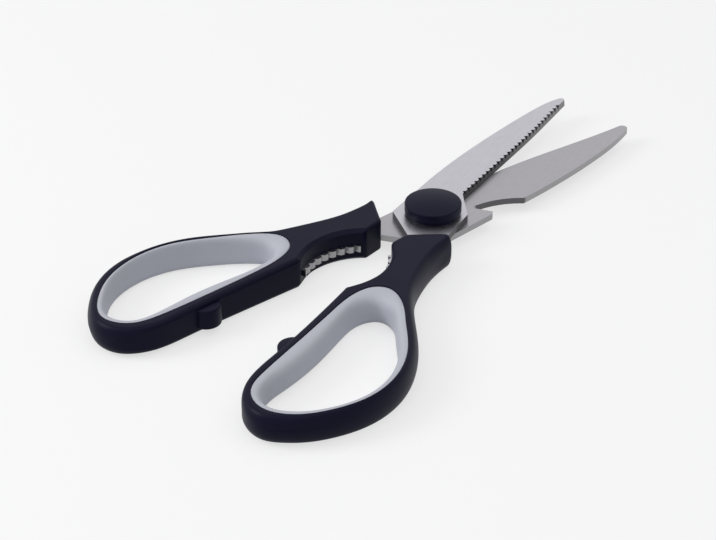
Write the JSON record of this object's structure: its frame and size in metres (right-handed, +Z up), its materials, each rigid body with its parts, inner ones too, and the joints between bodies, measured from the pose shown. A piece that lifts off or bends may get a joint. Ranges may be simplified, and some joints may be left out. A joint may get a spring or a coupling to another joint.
{
  "type": "kitchen shears",
  "caption": "Opened kitchen shears: steel blades, one serrated, one with a bottle-opener notch, black handles with soft-lined finger loops and a toothed nutcracker gap.",
  "frame": {"origin": "on the pivot axis, in the resting plane that the undersides of the handles and of the pivot nut share", "axes": "+Z up along the pivot axis, +Y midway between the two blade tips, +X towards the finger loop of the upper half"},
  "size_m": [0.1124, 0.221, 0.013],
  "materials": {
    "blade_steel": "stainless steel with a fine satin grain",
    "hardware_steel": "turned stainless steel",
    "black_plastic": "moulded, satin, nearly black",
    "grey_rubber": "soft, matte, cool light grey"
  },
  "bodies": {
    "lower_half": {"lower_blade": "blade_steel", "lower_handle_body": "black_plastic", "lower_grip_lining": "grey_rubber", "pivot_screw": "hardware_steel", "pivot_nut": "hardware_steel", "thrust_washer": "black_plastic", "spring_washer": "hardware_steel", "pivot_cap": "black_plastic"},
    "upper_half": {"upper_blade": "blade_steel", "upper_handle_body": "black_plastic", "upper_grip_lining": "grey_rubber"}
  },
  "joints": [
    {"name": "blade_pivot", "type": "hinge", "parent": "lower_half", "child": "upper_half", "pos_m": [0, 0, 0], "axis": [0, 0, 1], "range_deg": [-16.4, 75.8]}
  ]
}
